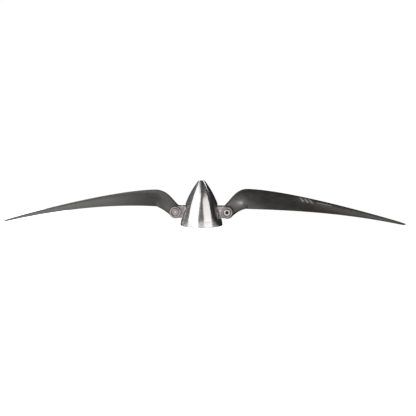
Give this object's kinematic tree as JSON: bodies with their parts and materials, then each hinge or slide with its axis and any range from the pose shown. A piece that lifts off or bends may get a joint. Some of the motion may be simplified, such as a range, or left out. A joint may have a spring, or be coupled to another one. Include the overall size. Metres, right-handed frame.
{
  "type": "folding propeller",
  "caption": "Folding model-aircraft propeller: drooping pointed blades hinged in a forked yoke that passes through a turned metal spinner, with a collet for the motor shaft.",
  "frame": {"origin": "centre of the backplate's rear face, on the motor shaft's axis", "axes": "+Z forward along the shaft to the spinner's nose, +X along the open right blade, whose pivot screw's head faces -Y"},
  "size_m": [0.3292, 0.0344, 0.0366],
  "materials": {
    "turned_aluminium": "fine-turned and polished",
    "turned_aluminium_base": "fine-turned",
    "collet_steel": "turned",
    "blasted_alloy": "bead-blasted",
    "hub_steel": "bright zinc",
    "black_oxide_steel": "black oxide",
    "zinc_steel": "bright",
    "shim_steel": "rolled",
    "filled_nylon": "moulded, satin",
    "bush_brass": "turned"
  },
  "bodies": {
    "hub": {"spinner_cone": "turned_aluminium", "backplate": "turned_aluminium_base", "collet": "collet_steel", "yoke": "blasted_alloy", "hub_washer": "hub_steel", "hub_nut": "hub_steel", "nose_screw": "black_oxide_steel", "drive_pins": "hub_steel", "pivot_screw_right": "zinc_steel", "pivot_nut_right": "zinc_steel", "front_shim_right": "shim_steel", "rear_shim_right": "shim_steel", "pivot_screw_left": "zinc_steel", "pivot_nut_left": "zinc_steel", "front_shim_left": "shim_steel", "rear_shim_left": "shim_steel"},
    "right_blade": {"blade_right": "filled_nylon", "bush_right": "bush_brass"},
    "left_blade": {"blade_left": "filled_nylon", "bush_left": "bush_brass"}
  },
  "joints": [
    {"name": "right_fold", "type": "hinge", "parent": "hub", "child": "right_blade", "pos_m": [0.021, 0, 0.0112], "axis": [0, 1, 0], "range_deg": [-10, 90]},
    {"name": "left_fold", "type": "hinge", "parent": "hub", "child": "left_blade", "pos_m": [-0.021, 0, 0.0112], "axis": [0, -1, 0], "range_deg": [-10, 90]}
  ]
}
